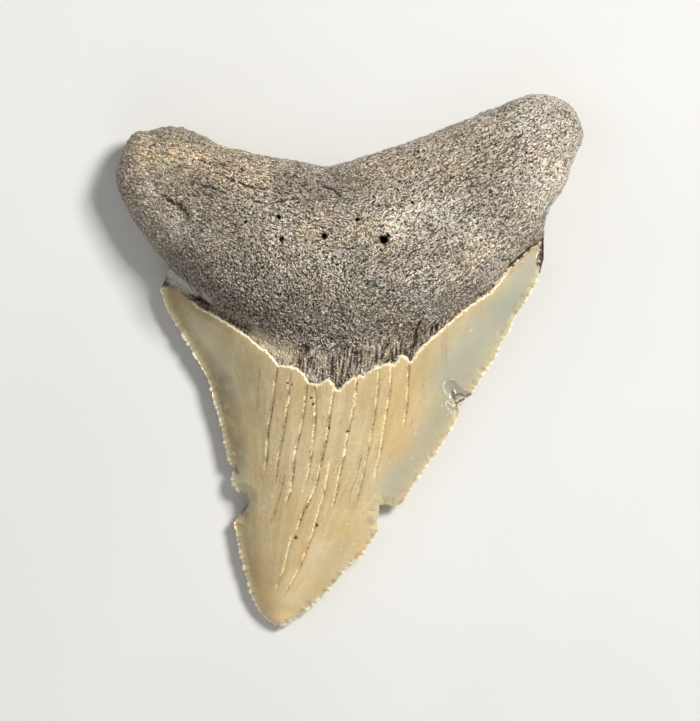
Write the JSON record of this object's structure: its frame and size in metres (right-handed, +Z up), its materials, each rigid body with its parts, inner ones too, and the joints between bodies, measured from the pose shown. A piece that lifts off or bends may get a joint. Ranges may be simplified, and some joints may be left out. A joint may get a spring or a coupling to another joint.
{
  "type": "fossil shark tooth",
  "caption": "Fossil megalodon tooth with a granular two-lobed root, a neck band and a serrated enamel crown; lies flat on its labial face.",
  "frame": {"origin": "centre of the bounding box in plan, on the surface that the tooth lies on", "axes": "+Z up, out of the lingual face; +Y from the tip towards the root; +X to the right as the lingual face is seen"},
  "size_m": [0.0704, 0.0802, 0.0185],
  "materials": {
    "fossil": "granular grey-brown root, satin khaki enamel with fine cracks"
  },
  "bodies": {
    "root": {"tooth": "fossil"}
  },
  "joints": []
}
